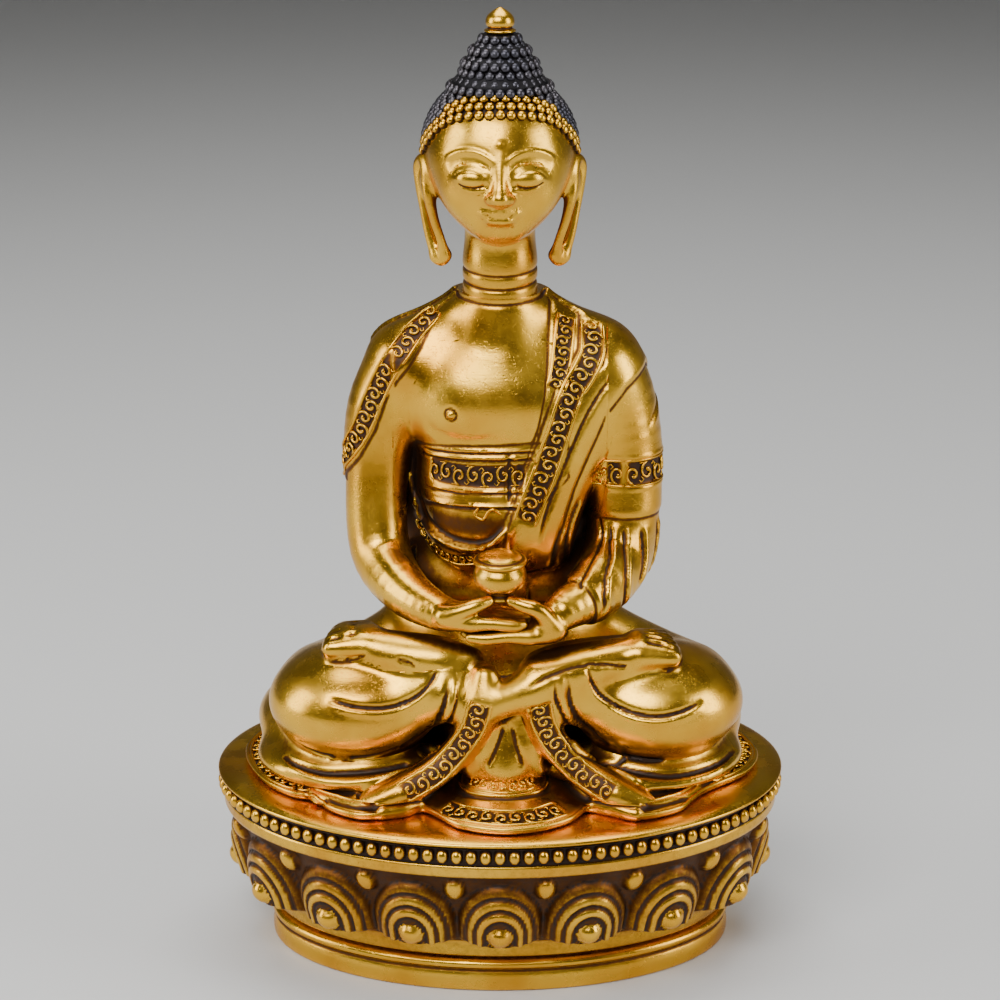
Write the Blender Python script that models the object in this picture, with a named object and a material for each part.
"""Seated figure on a lotus base: a small devotional statue in sectional brass casting.

The statue is a stack of hollow castings. From the floor up they are the foot ring, the lotus
drum, the pearl ring, the deck, the spread robe hem, the crossed legs, the torso and the head.
Arms, hands, bowl, crown and finial are cast apart and pinned on. Two studs draw the legs, hem
and deck together, and a screwed plate with a felt pad closes the base.

All dimensions below are millimetres, and MM turns them into metres. The front faces -Y.
"""

import math

import bmesh
import bpy
from mathutils import Matrix, Vector

MM = 0.001

# Driving dimensions
HEIGHT = 210.0
DECK_HALF_WIDTH = 63.5
DECK_HALF_DEPTH = 43.5
FOOT_HALF_WIDTH = 52.5
FOOT_HALF_DEPTH = 31.5
WALL = 3.0
GAP = 0.3
PETALS = 16
OVAL_SIDES = 48

# Heights of the joints between the castings, each at the middle of its gap
FOOT_TOP = 9.0
DRUM_TOP = 36.4
PEARL_TOP = 40.5
DECK_TOP = 42.6
HEM_TOP = 46.9
WAIST = 80.0
NECK = 150.0
CROWN = 195.6
FINIAL_BASE = 204.9

# Fastenings
STUD_RADIUS = 2.0
STUD_X = 27.0
STUD_Y = 10.0
NUT_RADIUS = 3.8
WASHER_RADIUS = 4.6
SCREW_RADIUS = 1.2
PIN_RADIUS = 1.5
NECK_PIN = (0.0, 9.0, 144.5)

# The figure
SIDES = (("right", -1), ("left", 1))
LEGS_OFFSET = 1.3
CORE_Y = 4.0
HEAD_Y = 3.0
WAIST_CORE_WIDTH = 12.0
WAIST_CORE_DEPTH = 8.0
SHOULDER_X = 23.0
ARMPIT_Z = 101.0
WRIST_X = 14.5
BOWL_Y = -21.0
PEG_RADIUS = 0.95
FINIAL_SPIGOT_RADIUS = 1.2
OPENING_WIDTH = 20.0
OPENING_DEPTH = 15.0
HEM_LOBES = [  # right half of the outline, from the front round to the back
    (0.0, -40.6), (9.5, -38.8), (15.5, -34.5), (19.0, -29.5), (24.5, -32.6), (31.0, -33.2),
    (38.0, -29.6), (42.5, -22.5), (48.0, -19.0), (53.5, -12.0), (57.0, -2.0), (56.0, 8.0),
    (50.5, 18.0), (42.0, 25.5), (30.0, 31.0), (15.0, 34.0), (0.0, 35.0),
]


# ---------------------------------------------------------------- materials and objects

def metal(name, colour, roughness, metallic=1.0):
    """A plain Principled material."""
    finish = bpy.data.materials.new(name)
    finish.use_nodes = True
    shader = finish.node_tree.nodes["Principled BSDF"]
    shader.inputs["Base Color"].default_value = (*colour, 1.0)
    shader.inputs["Roughness"].default_value = roughness
    shader.inputs["Metallic"].default_value = metallic
    return finish


def add_mesh(name, bm, finish, sharp_degrees=35.0):
    """Turns a bmesh drawn in millimetres into an object in metres, shaded smooth."""
    bmesh.ops.scale(bm, vec=(MM, MM, MM), verts=bm.verts)
    bmesh.ops.recalc_face_normals(bm, faces=bm.faces)
    mesh = bpy.data.meshes.new(name)
    bm.to_mesh(mesh)
    bm.free()
    mesh.shade_smooth()
    mesh.set_sharp_from_angle(angle=math.radians(sharp_degrees))
    if finish:
        mesh.materials.append(finish)
    body = bpy.data.objects.new(name, mesh)
    bpy.context.scene.collection.objects.link(body)
    return body


def add_cutter(name, bm):
    """A shape that only cuts others."""
    tool = add_mesh(name, bm, None)
    tool.hide_render = True
    tool.display_type = "WIRE"
    return tool


def combine(body, tool, operation="DIFFERENCE"):
    """Cuts tool away from body, or keeps only what the two share."""
    change = body.modifiers.new(tool.name, "BOOLEAN")
    change.operation = operation
    change.solver = "EXACT"
    change.object = tool


# ---------------------------------------------------------------- shapes drawn into a bmesh

def ball(bm, centre, radii, turn=0.0, detail=3):
    """An ellipsoid; turn is its rotation about Z in degrees."""
    place = (
        Matrix.Translation(Vector(centre))
        @ Matrix.Rotation(math.radians(turn), 4, "Z")
        @ Matrix.Diagonal((*radii, 1.0))
    )
    bmesh.ops.create_icosphere(bm, subdivisions=detail, radius=1.0, matrix=place)


def limb(bm, start, end, start_radius, end_radius, sides=16):
    """A tapered rod with round ends."""
    start, end = Vector(start), Vector(end)
    run = end - start
    aim = run.to_track_quat("Z", "Y").to_matrix().to_4x4()
    place = Matrix.Translation((start + end) / 2) @ aim
    bmesh.ops.create_cone(
        bm, cap_ends=True, segments=sides,
        radius1=start_radius, radius2=end_radius, depth=run.length, matrix=place,
    )
    ball(bm, start, (start_radius,) * 3, detail=2)
    ball(bm, end, (end_radius,) * 3, detail=2)


def rod(bm, centre, axis, radius, length, sides=12):
    """A plain cylinder centred on a point, along an axis."""
    aim = Vector(axis).to_track_quat("Z", "Y").to_matrix().to_4x4()
    place = Matrix.Translation(Vector(centre)) @ aim
    bmesh.ops.create_cone(
        bm, cap_ends=True, segments=sides, radius1=radius, radius2=radius, depth=length, matrix=place
    )


def block(bm, low, high):
    """A box between two corners."""
    low, high = Vector(low), Vector(high)
    place = Matrix.Translation((low + high) / 2) @ Matrix.Diagonal((*(high - low), 1.0))
    bmesh.ops.create_cube(bm, size=1.0, matrix=place)


def oval_lathe(bm, profile, sides, closed):
    """Oval rings through a profile of (half width, half depth, height).

    A closed profile goes round a wall section and back to its start. An open one gets an end
    cap on its first and last ring. Gives back the rings, each in order of angle.
    """
    width, depth, height = profile[0]
    place = Matrix.Translation((0, 0, height)) @ Matrix.Diagonal((width, depth, 1.0, 1.0))
    # a half step puts a flat side, not a corner, on each axis
    place = place @ Matrix.Rotation(math.pi / sides, 4, "Z")
    made = bmesh.ops.create_circle(bm, segments=sides, radius=1.0, matrix=place)
    first = {e for v in made["verts"] for e in v.link_edges}
    edges = list(first)
    rings = [made["verts"]]
    for new_width, new_depth, new_height in profile[1:]:
        grown = bmesh.ops.extrude_edge_only(bm, edges=edges)["geom"]
        ring = [g for g in grown if isinstance(g, bmesh.types.BMVert)]
        edges = [g for g in grown if isinstance(g, bmesh.types.BMEdge)]
        bmesh.ops.scale(bm, vec=(new_width / width, new_depth / depth, 1.0), verts=ring)
        bmesh.ops.translate(bm, vec=(0, 0, new_height - height), verts=ring)
        width, depth, height = new_width, new_depth, new_height
        rings.append(ring)
    if closed:
        bmesh.ops.bridge_loops(bm, edges=list(first) + edges)
    else:
        bmesh.ops.contextual_create(bm, geom=list(first))
        bmesh.ops.contextual_create(bm, geom=edges)
    return [
        sorted(ring, key=lambda v: math.atan2(v.co.y / half_depth, v.co.x / half_width))
        for ring, (half_width, half_depth, _) in zip(rings, profile)
    ]


def oval_piece(name, profile, finish, sides=OVAL_SIDES, closed=True):
    """An oval casting of its own."""
    bm = bmesh.new()
    oval_lathe(bm, profile, sides, closed)
    return add_mesh(name, bm, finish)


def sculpted(name, forms, finish, voxel=2.3, smoothing=5, keep=0.55, offset=0.0):
    """One closed casting from overlapping forms that are melted into each other.

    forms is a list of (shape function, arguments). keep is the share of triangles that stay,
    and offset moves the whole casting along X.
    """
    bm = bmesh.new()
    for shape, arguments in forms:
        shape(bm, *arguments)
    bmesh.ops.translate(bm, vec=(offset, 0, 0), verts=bm.verts)
    body = add_mesh(name, bm, finish)
    melt = body.modifiers.new("melt", "REMESH")
    melt.mode = "VOXEL"
    melt.voxel_size = voxel * MM
    melt.use_smooth_shade = True
    settle = body.modifiers.new("settle", "SMOOTH")
    settle.factor = 0.5
    settle.iterations = smoothing
    thin_out = body.modifiers.new("thin_out", "DECIMATE")
    thin_out.ratio = keep
    return body


def keep_between(body, name, low, high):
    """Trims a casting to a box, which leaves flat joint faces."""
    bm = bmesh.new()
    block(bm, low, high)
    combine(body, add_cutter(name, bm), "INTERSECT")


POINT_ARGUMENTS = {ball: (0,), limb: (0, 1)}


def both_sides(shape, *arguments):
    """The same form on the right and on the left."""
    mirrored = [
        (-a[0], *a[1:]) if isinstance(a, tuple) and n in POINT_ARGUMENTS[shape] else a
        for n, a in enumerate(arguments)
    ]
    return [(shape, arguments), (shape, tuple(mirrored))]


# ---------------------------------------------------------------- lotus base

def oval_angles(half_width, half_depth, count, steps=2000):
    """Angles that divide an oval into stretches of equal length, the first at the front."""
    lengths, total = [0.0], 0.0
    for n in range(steps):
        angle = 2 * math.pi * (n + 0.5) / steps
        pace = math.hypot(half_width * math.cos(angle), half_depth * math.sin(angle))
        total += pace * 2 * math.pi / steps
        lengths.append(total)
    angles, n = [], 0
    for k in range(count):
        while lengths[n + 1] < total * k / count:
            n += 1
        share = (total * k / count - lengths[n]) / (lengths[n + 1] - lengths[n])
        angles.append(2 * math.pi * (n + share) / steps)
    return angles


def foot_ring(finish):
    """The bottom moulding, with an inner ledge that the closing plate is screwed to."""
    w, d = FOOT_HALF_WIDTH, FOOT_HALF_DEPTH
    ledge = 7.0
    profile = [
        (w - WALL, d - WALL, 0.0), (w, d, 0.0), (w - 0.3, d - 0.3, 5.0),
        (w, d, 6.6), (w - 1.6, d - 1.6, 8.0), (w - 2.0, d - 2.0, FOOT_TOP - GAP / 2),
        (w - ledge, d - ledge, FOOT_TOP - GAP / 2), (w - ledge, d - ledge, 2.0 + GAP),
        (w - WALL, d - WALL, 2.0 + GAP),
    ]
    return oval_piece("foot_ring", profile, finish)


def closing_plate(finish):
    """The thin plate that closes the base from below."""
    w, d = FOOT_HALF_WIDTH - WALL - GAP, FOOT_HALF_DEPTH - WALL - GAP
    plate = oval_piece("closing_plate", [(w, d, 1.0), (w, d, 2.0)], finish, closed=False)
    combine(plate, screw_holes("plate_screw_holes"))
    return plate


def felt_pad(finish):
    """The felt under the closing plate."""
    w, d = FOOT_HALF_WIDTH - WALL - GAP, FOOT_HALF_DEPTH - WALL - GAP
    return oval_piece("felt_pad", [(w, d, 0.0), (w, d, 0.7)], finish, closed=False)


def screw_places():
    """Four places on the foot ring's ledge."""
    w = (FOOT_HALF_WIDTH - 5.2) * math.sqrt(0.5)
    d = (FOOT_HALF_DEPTH - 5.2) * math.sqrt(0.5)
    return [(sx * w, sy * d) for sx in (-1, 1) for sy in (-1, 1)]


def screw_holes(name):
    bm = bmesh.new()
    for x, y in screw_places():
        rod(bm, (x, y, 3.5), (0, 0, 1), SCREW_RADIUS + GAP, 7.0)
    return add_cutter(name, bm)


def plate_screws(finish):
    """Four screws; their shanks end inside the ledge."""
    for number, (x, y) in enumerate(screw_places(), 1):
        bm = bmesh.new()
        rod(bm, (x, y, 3.75), (0, 0, 1), SCREW_RADIUS, 5.5)
        add_mesh(f"plate_screw_{number}", bm, finish)


def lotus_drum(finish):
    """The hollow drum under the deck, with a ring of bulging petals cast on it."""
    w, d = DECK_HALF_WIDTH, DECK_HALF_DEPTH
    top, bottom = DRUM_TOP - GAP / 2, FOOT_TOP + GAP / 2
    outside = [  # inset of the wall from the deck's oval, height, bulge of the petals
        (12.8, bottom, 0.0), (13.6, 13.2, 0.0), (13.0, 14.2, 5.6), (12.0, 18.0, 8.0),
        (9.5, 24.0, 6.8), (6.0, 30.0, 3.2), (3.4, 32.6, 0.0), (1.6, 33.0, 0.0), (1.6, top, 0.0),
    ]
    inside = [(WALL + 3.0, top), (WALL + 6.0, 30.5), (WALL + 13.5, 19.0), (WALL + 14.6, bottom)]
    profile = [(w - inset, d - inset, height) for inset, height, _ in outside]
    profile += [(w - inset, d - inset, height) for inset, height in inside]
    bm = bmesh.new()
    sides = 6 * PETALS
    rings = oval_lathe(bm, profile, sides, closed=True)
    stations = oval_angles(w - 4.0, d - 4.0, sides)
    for number, (ring, (half_width, half_depth, height)) in enumerate(zip(rings, profile)):
        bulge = outside[number][2] if number < len(outside) else 0.0
        for vert, step in zip(ring, range(-sides // 4, sides)):
            angle = stations[step % sides] - math.pi / 2
            # every sixth station is a petal's middle, and the one halfway between is a valley
            share = (1.0, 0.93, 0.7, 0.0, 0.7, 0.93)[step % 6]
            outward = Vector((math.cos(angle), math.sin(angle), 0.0))
            vert.co = Vector((half_width * outward.x, half_depth * outward.y, height))
            vert.co += outward * bulge * share
    return add_mesh("lotus_drum", bm, finish)


def pearl_ring(finish):
    """The rim that carries the row of pearls."""
    w, d = DECK_HALF_WIDTH, DECK_HALF_DEPTH
    low, high = DRUM_TOP + GAP / 2, PEARL_TOP - GAP / 2
    middle = (low + high) / 2
    profile = [
        (w - 6.0, d - 6.0, low), (w - 1.0, d - 1.0, low), (w + 0.5, d + 0.5, middle),
        (w - 1.0, d - 1.0, high), (w - 6.0, d - 6.0, high),
    ]
    return oval_piece("pearl_ring", profile, finish)


def deck(finish):
    """The oval seat, open in the middle so that base and figure share one hollow."""
    w, d = DECK_HALF_WIDTH, DECK_HALF_DEPTH
    low, high = PEARL_TOP + GAP / 2, DECK_TOP - GAP / 2
    profile = [
        (OPENING_WIDTH, OPENING_DEPTH, low), (w - 0.6, d - 0.6, low), (w + 0.3, d + 0.3, low + 0.6),
        (w - 0.5, d - 0.5, high - 0.5), (w - 2.2, d - 2.2, high), (OPENING_WIDTH, OPENING_DEPTH, high),
    ]
    plate = oval_piece("deck", profile, finish)
    combine(plate, stud_holes("deck_stud_holes"))
    return plate


# ---------------------------------------------------------------- robe hem and its studs

def robe_hem(finish):
    """The robe spread on the deck: a plate with a scalloped edge and the same opening."""
    right = [Vector((x, y, 0)) for x, y in HEM_LOBES]
    left = [Vector((-v.x, v.y, 0)) for v in right[-2:0:-1]]
    bm = bmesh.new()
    low, high = DECK_TOP + GAP / 2, HEM_TOP - GAP / 2
    rim = [bm.verts.new(v + Vector((0, 0, low))) for v in right + left]
    sole = bm.faces.new(rim)
    grown = bmesh.ops.extrude_face_region(bm, geom=[sole])["geom"]
    top = [g for g in grown if isinstance(g, bmesh.types.BMVert)]
    bmesh.ops.translate(bm, vec=(0, 0, high - low), verts=top)
    # the upper edge leans in, as a fold of cloth does
    bmesh.ops.scale(bm, vec=(0.955, 0.94, 1.0), verts=top)
    hem = add_mesh("robe_hem", bm, finish)
    hole = bmesh.new()
    through = [(OPENING_WIDTH, OPENING_DEPTH, low - 1), (OPENING_WIDTH, OPENING_DEPTH, high + 1)]
    oval_lathe(hole, through, 32, closed=False)
    combine(hem, add_cutter("hem_opening", hole))
    combine(hem, stud_holes("hem_stud_holes"))
    return hem


def stud_holes(name):
    bm = bmesh.new()
    for side in (-1, 1):
        rod(bm, (side * STUD_X, STUD_Y, 44.0), (0, 0, 1), STUD_RADIUS + GAP, 20.0)
    return add_cutter(name, bm)


def tie_studs(finish):
    """Two studs that reach from bosses in the legs to below the deck."""
    for side_name, side in SIDES:
        bm = bmesh.new()
        rod(bm, (side * STUD_X, STUD_Y, 43.5), (0, 0, 1), STUD_RADIUS, 21.0)
        add_mesh(f"{side_name}_tie_stud", bm, finish)


def stud_collars(name, radius, low, high, sides, finish):
    """A collar around each stud, such as a washer or a nut."""
    bores = stud_holes(name + "_bores")
    for side_name, side in SIDES:
        bm = bmesh.new()
        rod(bm, (side * STUD_X, STUD_Y, (low + high) / 2), (0, 0, 1), radius, high - low, sides)
        combine(add_mesh(f"{side_name}_{name}", bm, finish), bores)


# ---------------------------------------------------------------- figure

def legs(finish):
    """Crossed legs under the robe, open below and at the waist."""
    forms = [
        (ball, ((0, 8, 62), (33, 22, 17))),
        (ball, ((0, 10, 74), (25, 16, 13))),
        (ball, ((0, -14, 57), (17, 13, 12))),
        (ball, ((18.7, -19.5, 74.3), (15, 5.6, 3.5), 16.0)),
        (ball, ((-22.3, -17.5, 75.3), (13.0, 5.6, 3.2), -24.0)),
        (limb, ((-7.3, -27, 64.5), (13.7, -23.5, 72), 4.6, 4.2)),
    ]
    forms += both_sides(limb, (15, 12, 64), (40, -4, 61), 13.0, 10.0)
    forms += both_sides(limb, (36, -11, 62), (13, -22, 67.5), 10.8, 6.2)
    forms += both_sides(ball, (33, -13, 63.2), (18.8, 16.0, 11.0), 0.0)
    forms += both_sides(ball, (30, -10, 50.5), (24.0, 18.5, 7.0), 0.0)
    forms += both_sides(ball, (38, 5, 51.5), (16.5, 20.0, 8.5), 0.0)
    body = sculpted("legs", forms, finish, voxel=2.6, keep=0.32, offset=LEGS_OFFSET)
    keep_between(body, "legs_joints", (-80, -60, HEM_TOP + GAP / 2), (80, 60, WAIST - GAP / 2))
    core = bmesh.new()
    hollow = [
        (WAIST_CORE_WIDTH, WAIST_CORE_DEPTH, 84), (WAIST_CORE_WIDTH, WAIST_CORE_DEPTH, 68),
        (30, 15, 60), (30, 15, 40),
    ]
    oval_lathe(core, hollow, 24, closed=False)
    bmesh.ops.translate(core, vec=(0, CORE_Y, 0), verts=core.verts)
    combine(body, add_cutter("legs_hollow", core))
    bosses = bmesh.new()
    for side in (-1, 1):
        rod(bosses, (side * STUD_X, STUD_Y, 50.5), (0, 0, 1), STUD_RADIUS + GAP, 8.0)
    combine(body, add_cutter("legs_stud_sockets", bosses))
    return body


def waist_sleeve(finish):
    """The oval sleeve inside the joint between legs and torso."""
    outer_w, outer_d = WAIST_CORE_WIDTH - GAP, WAIST_CORE_DEPTH - GAP
    thickness = 1.5
    profile = [
        (outer_w, outer_d, 70.0), (outer_w, outer_d, 90.0),
        (outer_w - thickness, outer_d - thickness, 90.0), (outer_w - thickness, outer_d - thickness, 70.0),
    ]
    bm = bmesh.new()
    oval_lathe(bm, profile, 24, closed=True)
    bmesh.ops.translate(bm, vec=(0, CORE_Y, 0), verts=bm.verts)
    return add_mesh("waist_sleeve", bm, finish)


def torso(finish):
    """Bare chest with the robe over both shoulders, open at the waist and the neck."""
    forms = [
        (ball, ((0, 3.5, 126), (20.5, 13.0, 17))),
        (ball, ((0, 3.5, 107), (16.8, 12.5, 18))),
        (ball, ((0, 0.5, 99), (14.0, 10.5, 12))),
        (ball, ((0, 11.0, 112), (21.0, 10.5, 34))),
        (ball, ((0, 9.0, 84), (24.0, 15.5, 11))),
        (limb, ((-18, 5.5, 136.5), (18, 5.5, 136.5), 8.9, 8.9)),
        (limb, ((0, 3.5, 138), (0, 3.0, 160), 9.2, 8.6)),
    ]
    forms += both_sides(ball, (8.5, -4.0, 128.5), (10.5, 6.6, 8.8))
    forms += both_sides(limb, (4, 5, 145.5), (20, 6, 139), 6.8, 7.2)
    body = sculpted("torso", forms, finish, voxel=2.4, keep=0.3)
    side = SHOULDER_X - GAP / 2
    keep_between(body, "torso_joints", (-side, -60, WAIST + GAP / 2), (side, 60, NECK - GAP / 2))
    core = bmesh.new()
    hollow = [
        (WAIST_CORE_WIDTH, WAIST_CORE_DEPTH, 76), (WAIST_CORE_WIDTH, WAIST_CORE_DEPTH, 91),
        (13, 8, 98), (15, 9.5, 122), (8, 6, 137), (5.3, 5.3, 140), (5.3, 5.3, 154),
    ]
    oval_lathe(core, hollow, 24, closed=False)
    bmesh.ops.translate(core, vec=(0, CORE_Y, 0), verts=core.verts)
    combine(body, add_cutter("torso_hollow", core))
    combine(body, pin_hole("torso_pin_holes", shoulder_pin_places(), (1, 0, 0), 14.0))
    combine(body, pin_hole("torso_neck_pin_hole", [NECK_PIN], (0, 1, 0), 30.0, back_only=True))
    return body


def pin_hole(name, places, axis, length, back_only=False):
    bm = bmesh.new()
    for place in places:
        centre = Vector(place)
        if back_only:
            centre.y += length / 2 - 9.0
        rod(bm, centre, axis, PIN_RADIUS + GAP, length)
    return add_cutter(name, bm)


def shoulder_pin_places():
    return [(side * SHOULDER_X, 6.0, 134.0) for side in (-1, 1)]


def pin(name, place, axis, length, finish):
    """A short dowel across a joint."""
    bm = bmesh.new()
    rod(bm, place, axis, PIN_RADIUS, length)
    return add_mesh(name, bm, finish)


def arm(name, side, sleeve, finish):
    """One arm from the shoulder joint to the wrist; sleeve adds cloth to its thickness."""
    shoulder, elbow, wrist = (22.8, 5, 134.6), (26.4, -1, 93), (13.5, -20, 85.5)
    path = [
        (shoulder, 7.9 + sleeve), ((25.6, 4.5, 125.0), 6.9 + sleeve),
        ((27.2, 3, 109.5), 6.5 + sleeve * 0.7), (elbow, 6.7 + sleeve * 0.3),
        ((20.8, -12, 87.5), 5.8 + sleeve * 0.4), (wrist, 4.4 + sleeve * 0.4),
    ]
    forms = []
    for (start, start_radius), (end, end_radius) in zip(path, path[1:]):
        a, b = (side * start[0], *start[1:]), (side * end[0], *end[1:])
        forms.append((limb, (a, b, start_radius, end_radius)))
    body = sculpted(name, forms, finish, voxel=2.0, smoothing=3, keep=0.35)
    bm = bmesh.new()
    block(bm, (-SHOULDER_X - GAP / 2, -30, ARMPIT_Z), (SHOULDER_X + GAP / 2, 40, 160))
    combine(body, add_cutter(name + "_shoulder_cut", bm))
    bm = bmesh.new()
    block(bm, (-WRIST_X - GAP / 2, -60, 60), (WRIST_X + GAP / 2, 60, 100))
    combine(body, add_cutter(name + "_wrist_cut", bm))
    holes = pin_hole(name + "_pin_holes", shoulder_pin_places() + wrist_pin_places(), (1, 0, 0), 9.0)
    combine(body, holes)
    return body


def wrist_pin_places():
    return [(side * WRIST_X, -19.5, 85.6) for side in (-1, 1)]


def hand(name, side, palm_height, finish):
    """A palm-up hand: palm, four fingers side by side and a thumb."""
    z = palm_height
    forms = [
        (limb, ((side * 14.5, -19.5, 85.6), (side * 9.5, -21, z + 0.4), 4.4, 3.0)),
        (ball, ((side * 7.5, -21.5, z), (7.5, 5.6, 2.3))),
    ]
    for finger in range(4):
        y = -24.8 + 2.6 * finger
        reach = -7.5 + 1.2 * abs(finger - 1)
        forms.append((limb, ((side * 5.0, y, z), (side * reach, y, z), 1.7, 1.5, 8)))
    body = sculpted(name, forms, finish, voxel=1.1, smoothing=3, keep=0.25)
    bm = bmesh.new()
    block(bm, (-WRIST_X + GAP / 2, -60, 60), (WRIST_X - GAP / 2, 60, 100))
    combine(body, add_cutter(name + "_wrist_cut", bm), "INTERSECT")
    combine(body, pin_hole(name + "_pin_holes", wrist_pin_places(), (1, 0, 0), 9.0))
    return body


def alms_bowl(finish):
    """The covered bowl that stands in the hands, solid, with a locating peg under its foot."""
    profile = [
        (PEG_RADIUS, 86.4), (PEG_RADIUS, 88.9), (3.2, 88.9), (3.4, 90.2), (5.0, 91.4), (6.1, 93.6), (6.1, 95.4),
        (5.2, 97.2), (5.5, 98.4), (4.9, 98.6), (4.4, 98.1), (2.4, 98.9), (0.6, 99.3),
    ]
    bm = bmesh.new()
    oval_lathe(bm, [(r, r, z) for r, z in profile], 24, closed=False)
    bmesh.ops.translate(bm, vec=(0, BOWL_Y, 0), verts=bm.verts)
    return add_mesh("alms_bowl", bm, finish)


def head(finish):
    """Head with long ears and neck; the neck ends in a tenon that drops into the torso."""
    forms = [
        (ball, ((0, 2.8, 181.0), (16.6, 16.2, 15.6))),
        (ball, ((0, -1.6, 174.5), (13.8, 12.6, 12.5))),
        (ball, ((0, -6.5, 168.0), (7.5, 6.6, 4.8))),
        (ball, ((0, 1.0, 170.5), (12.0, 11.0, 8.0))),
        (limb, ((0, 3, 140), (0, 2.5, 168), 8.9, 8.3)),
        (limb, ((0, -13.0, 179.5), (0, -15.6, 173.2), 1.3, 2.0)),
        (limb, ((-2.4, -12.2, 169.0), (2.4, -12.2, 169.0), 1.5, 1.5)),
    ]
    forms += both_sides(limb, (2.5, -13.2, 180.2), (8.5, -10.6, 181.0), 1.4, 1.1)
    forms += both_sides(ball, (5.2, -11.4, 177.2), (3.3, 2.4, 1.6), -18.0)
    forms += both_sides(limb, (16.4, 2.5, 181), (16.6, 2.5, 172), 2.3, 2.0)
    forms += both_sides(limb, (16.4, 2.3, 172), (13.6, 2.0, 158.5), 2.2, 2.0)
    body = sculpted("head", forms, finish, voxel=1.4, smoothing=2, keep=0.22)
    keep_between(body, "head_joint", (-30, -30, NECK + GAP / 2), (30, 30, 220))
    tenon = bmesh.new()
    rod(tenon, (0, CORE_Y, 147.0), (0, 0, 1), 5.0, 13.0, 24)
    combine(body, add_cutter("head_tenon", tenon), "UNION")
    core = bmesh.new()
    hollow = [(2.5, 138), (2.5, 160), (9.5, 172), (10.5, 182), (5.3, 190), (5.3, 204)]
    oval_lathe(core, [(radius, radius, height) for radius, height in hollow], 20, closed=False)
    bmesh.ops.translate(core, vec=(0, HEAD_Y, 0), verts=core.verts)
    combine(body, add_cutter("head_hollow", core))
    combine(body, pin_hole("head_pin_hole", [NECK_PIN], (0, 1, 0), 14.0, back_only=False))
    crown_cut = bmesh.new()
    block(crown_cut, (-30, -30, CROWN - GAP / 2), (30, 30, 230))
    combine(body, add_cutter("head_crown_cut", crown_cut))
    return body


def crown(finish):
    """The raised crown of the hair, three ridged tiers with a spigot that plugs the head."""
    profile = [
        (5.0, 189.5), (5.0, CROWN + GAP / 2), (9.8, CROWN + GAP / 2), (9.9, 197.2), (9.0, 198.6),
        (8.9, 199.8), (7.6, 201.2), (7.3, 202.3), (5.4, 203.8), (3.2, FINIAL_BASE - GAP / 2),
    ]
    bm = bmesh.new()
    oval_lathe(bm, [(r, r, z) for r, z in profile], 24, closed=False)
    bmesh.ops.translate(bm, vec=(0, HEAD_Y, 0), verts=bm.verts)
    body = add_mesh("crown", bm, finish)
    socket = bmesh.new()
    rod(socket, (0, HEAD_Y, 204.0), (0, 0, 1), FINIAL_SPIGOT_RADIUS + GAP, 8.0)
    combine(body, add_cutter("finial_socket", socket))
    return body


def finial(finish):
    """The onion-shaped knob on top, with its spigot."""
    profile = [
        (FINIAL_SPIGOT_RADIUS, 201.0), (FINIAL_SPIGOT_RADIUS, FINIAL_BASE + GAP / 2),
        (2.5, FINIAL_BASE + GAP / 2), (3.4, 206.4),
        (3.2, 207.6), (2.0, 208.9), (0.9, 209.6), (0.5, HEIGHT),
    ]
    bm = bmesh.new()
    oval_lathe(bm, [(r, r, z) for r, z in profile], 20, closed=False)
    bmesh.ops.translate(bm, vec=(0, HEAD_Y, 0), verts=bm.verts)
    return add_mesh("finial", bm, finish)


# ---------------------------------------------------------------- assembly

def build():
    for item in list(bpy.data.objects):
        bpy.data.objects.remove(item, do_unlink=True)

    brass = metal("brass", (0.78, 0.53, 0.17), 0.3)
    dark_hair = metal("dark_hair", (0.035, 0.035, 0.05), 0.55, 0.3)
    steel = metal("steel", (0.55, 0.55, 0.56), 0.35)
    felt = metal("felt", (0.18, 0.03, 0.03), 0.95, 0.0)

    foot = foot_ring(brass)
    combine(foot, screw_holes("ledge_screw_holes"))
    closing_plate(brass)
    felt_pad(felt)
    plate_screws(steel)
    lotus_drum(brass)
    pearl_ring(brass)
    deck(brass)

    robe_hem(brass)
    tie_studs(steel)
    under_deck = PEARL_TOP + GAP / 2
    stud_collars("tie_washer", WASHER_RADIUS, under_deck - 1.3, under_deck - GAP, 16, steel)
    stud_collars("tie_nut", NUT_RADIUS, under_deck - 4.8, under_deck - 1.6, 6, steel)

    legs(brass)
    waist_sleeve(brass)
    torso(brass)
    for (side_name, _), shoulder, wrist in zip(SIDES, shoulder_pin_places(), wrist_pin_places()):
        pin(f"{side_name}_shoulder_pin", shoulder, (1, 0, 0), 8.0, brass)
        pin(f"{side_name}_wrist_pin", wrist, (1, 0, 0), 6.0, brass)
    arm("right_arm", -1, 0.0, brass)
    arm("left_arm", 1, 0.9, brass)
    hand("left_hand", 1, 82.0, brass)
    upper = hand("right_hand", -1, 86.6, brass)
    peg_hole = bmesh.new()
    rod(peg_hole, (0, BOWL_Y, 88.0), (0, 0, 1), PEG_RADIUS + GAP, 4.0)
    combine(upper, add_cutter("bowl_peg_hole", peg_hole))
    alms_bowl(brass)

    head(brass)
    pin("neck_pin", (NECK_PIN[0], NECK_PIN[1] + 1.0, NECK_PIN[2]), (0, 1, 0), 10.0, brass)
    crown(dark_hair)
    finial(brass)


build()
